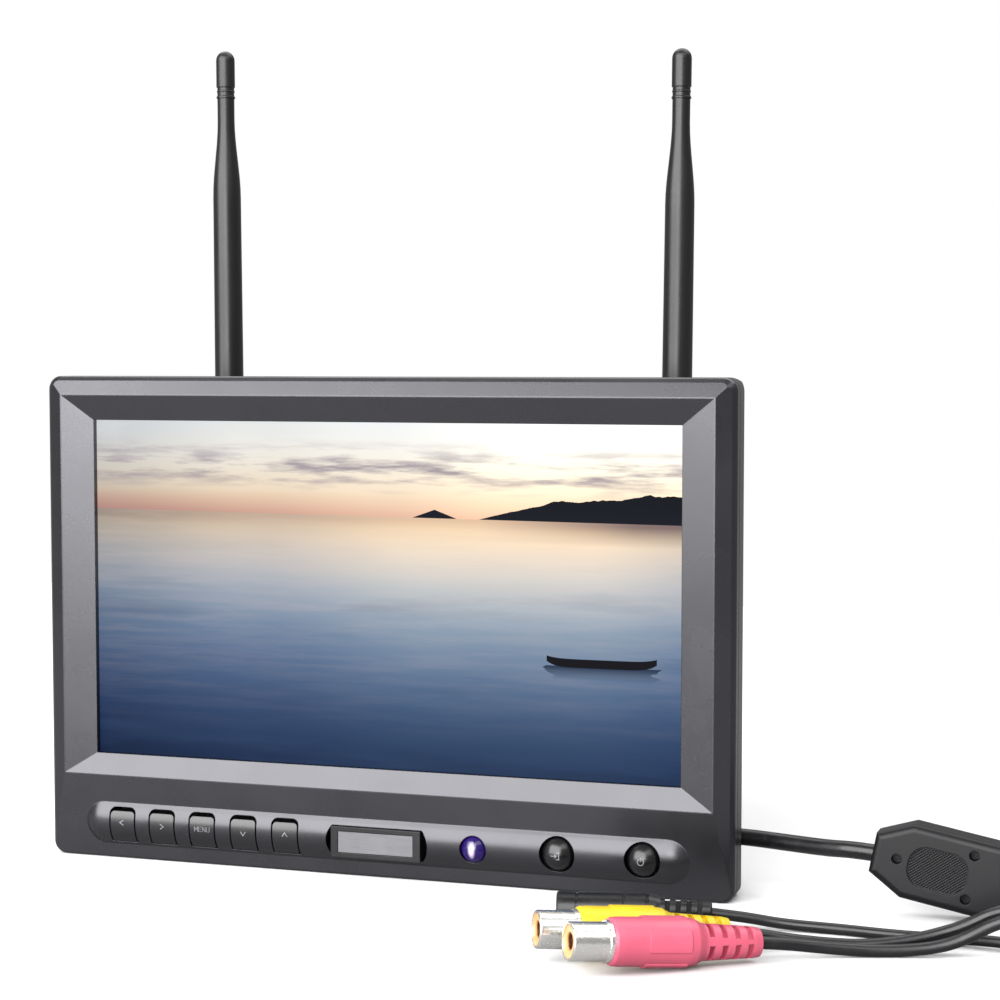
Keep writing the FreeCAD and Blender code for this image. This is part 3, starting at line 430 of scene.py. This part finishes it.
def make_marks():
    paint = moulded("mark_grey", (0.21, 0.21, 0.23), 0.45, depth=0.000002, wear=0.1)
    marks = [
        ("left_mark", turned(CHEVRON, 0), "left_key", (MARK_X["left_key"], 10.0)),
        ("right_mark", turned(CHEVRON, 2), "right_key", (MARK_X["right_key"], 9.65)),
        ("menu_mark", word("MENU", 1.15, 1.12), "menu_key", (MARK_X["menu_key"], 9.7)),
        ("down_mark", turned(CHEVRON, 1), "down_key", (MARK_X["down_key"], 9.3)),
        ("up_mark", turned(CHEVRON, 3), "up_key", (MARK_X["up_key"], 9.9)),
    ]
    for name, strokes, body, (x, z) in marks:
        printed(name, strokes, (x * MM, z * MM), on_bar, body, paint,
                LETTER_STROKE if name == "menu_mark" else ARROW_STROKE)
    arrow = [((-1.0, 0.0), (0.35, 0.0)), ((0.35, 0.0), (-0.1, 0.4)), ((0.35, 0.0), (-0.1, -0.4)),
             ((0.3, 0.8), (0.95, 0.8)), ((0.95, 0.8), (0.95, -0.8)), ((0.95, -0.8), (0.3, -0.8))]
    power = arc(0.75, 120, 420) + [((0.0, 0.25), (0.0, 1.05))]
    for name, strokes in (("source_button", arrow), ("power_button", power)):
        low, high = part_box(name)
        middle = ((low[0] + high[0]) / 2, (low[2] + high[2]) / 2)
        printed(name + "_mark", strokes, middle, on_dome(*middle), name, paint, DOME_STROKE)


# ---------------------------------------------------------------- finishes of the CAD parts
def dress(material, *names):
    for name in names:
        piece = nodes[name]
        for slot in piece.material_slots:
            slot.material = material


GRIP_MIDDLE = (15.4 * MM, -0.4 * MM)                    # along the box from its nose, and up its face
GRIP_HALF = (6.6 * MM, 4.5 * MM)
GRIP_ROUNDNESS = 3.2                                    # 2 is an ellipse, more is squarer
GRIP_PITCH = 0.75 * MM


def gripped_black():
    """Box plastic with a fine cross-hatched grip sunk in its front face."""
    m = Shader("box_grip_black", Specular_IOR_Level=0.28)
    tone = (0.003, 0.003, 0.004)
    from_nose = m.add("VectorMath", {0: m.place(), 1: BOX_NOSE}, operation="SUBTRACT").outputs[0]
    axes = [(math.cos(BOX_TILT), 0.0, -math.sin(BOX_TILT)), (math.sin(BOX_TILT), 0.0, math.cos(BOX_TILT))]
    s, t = [m.add("VectorMath", {0: from_nose, 1: axis}, operation="DOT_PRODUCT").outputs["Value"]
            for axis in axes]
    shares = []
    for along, middle, half in ((s, GRIP_MIDDLE[0], GRIP_HALF[0]), (t, GRIP_MIDDLE[1], GRIP_HALF[1])):
        share = m.math("DIVIDE", m.math("SUBTRACT", along, middle), half)
        shares.append(m.math("POWER", m.math("ABSOLUTE", share), GRIP_ROUNDNESS))
    inside = m.math("LESS_THAN", m.math("ADD", *shares), 1.0)
    ridges = []
    for way in ("ADD", "SUBTRACT"):
        turns = m.math("MULTIPLY", m.math(way, s, t), math.pi / GRIP_PITCH)
        ridges.append(m.math("ABSOLUTE", m.math("SINE", turns)))
    hatch = m.math("MULTIPLY", m.math("MULTIPLY", ridges[0], ridges[1]), inside)
    grain = m.math("MULTIPLY", m.noise(0.00025, detail=2.0), 0.05)
    mottle = m.noise(0.018, detail=4.0)
    m.base(m.ramp(mottle, [(0.3, shade(tone, 0.88)), (0.7, shade(tone, 1.15))]))
    m.rough(m.span(m.noise(0.03, detail=5.0), 0.3, 0.7, 0.33, 0.44))
    m.bump(m.math("ADD", hatch, grain), 0.00012, 0.00035)
    return m.material


LENS_HIGHLIGHT_HALF = (0.8 * MM, 1.9 * MM)                    # half width and half height of the highlight painted down the lens's middle


def violet_lens():
    """Violet dome with a painted highlight: a pale lilac patch painted down its middle."""
    m = Shader("ir_violet", Coat_Weight=0.25, Coat_Roughness=0.12, Specular_IOR_Level=0.4)
    low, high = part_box("ir_lens")
    middle = [(a + b) / 2 for a, b in zip(low, high)]
    off = m.add("VectorMath", {0: m.place(), 1: middle}, operation="SUBTRACT").outputs[0]
    scale = (1 / LENS_HIGHLIGHT_HALF[0], 0.0, 1 / LENS_HIGHLIGHT_HALF[1])
    reach = m.add("VectorMath", {0: off, 1: scale}, operation="MULTIPLY").outputs[0]
    away = m.add("VectorMath", {0: reach}, operation="LENGTH").outputs["Value"]
    # painted highlight: the lens colour turns pale lilac in a tall patch at its middle
    painted_highlight = m.math("MULTIPLY", m.span(away, 1.25, 0.35, 0.0, 1.0),
                  m.span(m.noise(0.0012), 0.2, 0.6, 0.85, 1.0))
    m.base(m.mix(painted_highlight, (0.012, 0.003, 0.075), (0.66, 0.54, 0.72)))
    m.rough(m.span(m.noise(0.002), 0.3, 0.7, 0.14, 0.2))
    m.bump(m.noise(0.0004), 0.0000006)
    return m.material


def finish_parts():
    dress(moulded("housing_black", (0.0030, 0.0031, 0.0044), 0.28, wear=0.2, Specular_IOR_Level=0.9,
                  Specular_Tint=(0.95, 0.94, 1.0, 1.0)), "front_frame", "rear_cover")
    keys = ["left_key", "right_key", "menu_key", "down_key", "up_key"]
    dress(moulded("key_black", (0.003, 0.003, 0.0044), 0.28, Specular_IOR_Level=0.75, grain=0.0002,
                  depth=0.000004), *keys)
    dress(moulded("dome_black", (0.003, 0.003, 0.0036), 0.24, depth=0.0000006, wear=0.1,
                  Specular_IOR_Level=0.6), "source_button", "power_button")
    dress(violet_lens(), "ir_lens")
    dress(moulded("label_black", (0.005, 0.005, 0.006), 0.3, depth=0.000003), "label_surround")
    dress(metal("brushed_plate", (0.19, 0.19, 0.20), 0.42, brushed=(0.05, 1.0, 1.0), scratch=0.00035),
          "label_plate")
    dress(dusk_lake(), "lcd_panel")
    dress(rubbery("foam_black", (0.012, 0.012, 0.012), 0.9), "screen_gasket")
    dress(moulded("clear_guide", (0.75, 0.78, 0.8), 0.15, depth=0.0), "light_guide")
    tin = metal("tin_plate", (0.6, 0.6, 0.6), 0.35, brushed=(0.2, 1.0, 1.0))
    dress(tin, "backlight_tray", "tuner_shields")
    dress(moulded("board_green", (0.015, 0.12, 0.045), 0.35), "main_board", "box_board")
    dress(moulded("board_black", (0.003, 0.0035, 0.003), 0.5, Specular_IOR_Level=0.3), "key_board")
    dress(moulded("part_black", (0.02, 0.02, 0.02), 0.5), "board_parts", "key_board_parts", "speaker")
    dress(metal("black_zinc", (0.10, 0.10, 0.105), 0.35), "housing_screws", "board_screws")
    dress(metal("black_oxide", (0.022, 0.022, 0.024), 0.42), "box_screws")
    dress(metal("brass", (0.72, 0.52, 0.22), 0.3), "mount_inserts")
    gold = metal("gold_plate", (0.85, 0.62, 0.28), 0.22)
    dress(gold, "jack_nuts", "left_aerial_jack", "right_aerial_jack")
    whip = moulded("aerial_black", (0.004, 0.004, 0.005), 0.36, grain=0.0004, depth=0.000004, wear=0.15)
    collar = moulded("collar_black", (0.008, 0.008, 0.009), 0.28, depth=0.000003)
    steel = metal("pin_steel", (0.5, 0.5, 0.5), 0.25)
    for side in ("left", "right"):
        dress(whip, side + "_aerial_knuckle", side + "_aerial_whip", side + "_aerial_tip")
        dress(collar, side + "_aerial_collar")
        dress(steel, side + "_hinge_pin")
        dress(rubbery("coax_black_" + side, (0.02, 0.02, 0.02)), side + "_aerial_tail")
    dress(moulded("box_black", (0.003, 0.003, 0.004), 0.38, wear=0.2, Specular_IOR_Level=0.28),
          "box_rear_shell")
    dress(gripped_black(), "box_front_shell")
    black = rubbery("vinyl_black", (0.004, 0.004, 0.005), 0.32)
    dress(black, "lead_clamp", "cable_grommet", "power_jack_hood")
    dress(moulded("plug_white", (0.75, 0.75, 0.7), 0.4), "cable_plug")
    nickel = metal("nickel", (0.95, 0.93, 0.89), 0.2, scratch=0.0004, depth=0.0000005)
    dress(nickel, "video_socket_barrel", "audio_socket_barrel", "power_jack_contacts")
    dress(moulded("insulator_tan", (0.60, 0.36, 0.15), 0.4),
          "video_socket_insulator", "audio_socket_insulator")
    dress(metal("spring_copper", (0.42, 0.2, 0.09), 0.35), "socket_contacts")
    dress(rubbery("vinyl_yellow", (0.62, 0.44, 0.008), 0.36), "video_socket_hood")
    dress(rubbery("vinyl_red", (0.52, 0.085, 0.14), 0.36), "audio_socket_hood")
    return black


# ---------------------------------------------------------------- stage
FLOOR_HALF = 0.6
OBJECT_MIDDLE = (0.0, 0.0, 0.07)                        # what the lights are turned towards


def make_stage():
    mesh = bpy.data.meshes.new("floor")
    a = FLOOR_HALF
    mesh.from_pydata([(-a, -a, 0), (a, -a, 0), (a, a, 0), (-a, a, 0)], [], [(0, 1, 2, 3)])
    floor = bpy.data.objects.new("floor", mesh)
    bpy.context.scene.collection.objects.link(floor)
    m = Shader("floor_white", Roughness=0.6)
    mottle = m.noise(0.4)
    pale = m.ramp(mottle, [(0.3, (0.84, 0.84, 0.84)), (0.7, (0.88, 0.88, 0.88))])
    dim = m.ramp(mottle, [(0.3, (0.25, 0.25, 0.255)), (0.7, (0.28, 0.28, 0.285))])
    m.base(m.mix(m.add("LightPath").outputs["Is Camera Ray"], dim, pale))
    mesh.materials.append(m.material)

    world = bpy.data.worlds.new("studio")
    bpy.context.scene.world = world
    world.use_nodes = True
    tree = world.node_tree
    sky = tree.nodes["Background"]
    sky.inputs["Color"].default_value = (1.0, 1.0, 1.0, 1.0)
    path = tree.nodes.new("ShaderNodeLightPath")
    level = tree.nodes.new("ShaderNodeMapRange")
    level.inputs["To Min"].default_value = 0.36
    level.inputs["To Max"].default_value = 1.0
    tree.links.new(path.outputs["Is Camera Ray"], level.inputs["Value"])
    tree.links.new(level.outputs[0], sky.inputs["Strength"])


def soft_light(name, place, target, size, power):
    data = bpy.data.lights.new(name, "AREA")
    data.shape = "RECTANGLE"
    data.size, data.size_y = size
    data.energy = power
    light = bpy.data.objects.new(name, data)
    light.location = place
    light.rotation_euler = (Vector(target) - Vector(place)).to_track_quat("-Z", "Y").to_euler()
    bpy.context.scene.collection.objects.link(light)


def from_front(azimuth, elevation, distance):
    """Place seen from the monitor's middle, azimuth to the viewer's right of straight ahead, degrees."""
    a, e = math.radians(azimuth), math.radians(elevation)
    level = distance * math.cos(e)
    return (level * math.sin(a), -level * math.cos(a), OBJECT_MIDDLE[2] + distance * math.sin(e))


def make_lights():
    soft_light("front_softbox", from_front(-20, 24, 1.2), OBJECT_MIDDLE, (1.8, 1.2), 47.0)
    soft_light("low_front_card", from_front(9, 2, 1.2), OBJECT_MIDDLE, (0.45, 0.55), 3.4)
    soft_light("right_high_card", from_front(48, 45, 1.2), OBJECT_MIDDLE, (0.8, 0.6), 3.8)
    soft_light("overhead_fill", (0.1, 0.75, 1.5), (0.1, 0.7, 0.0), (2.4, 1.3), 24.0)
    bpy.context.scene.view_settings.view_transform = "Standard"


# ---------------------------------------------------------------- build
make_camera()
cords = make_cords()
vinyl = finish_parts()
for jacket in cords:
    jacket.data.materials.append(vinyl)
make_marks()
make_stage()
make_lights()
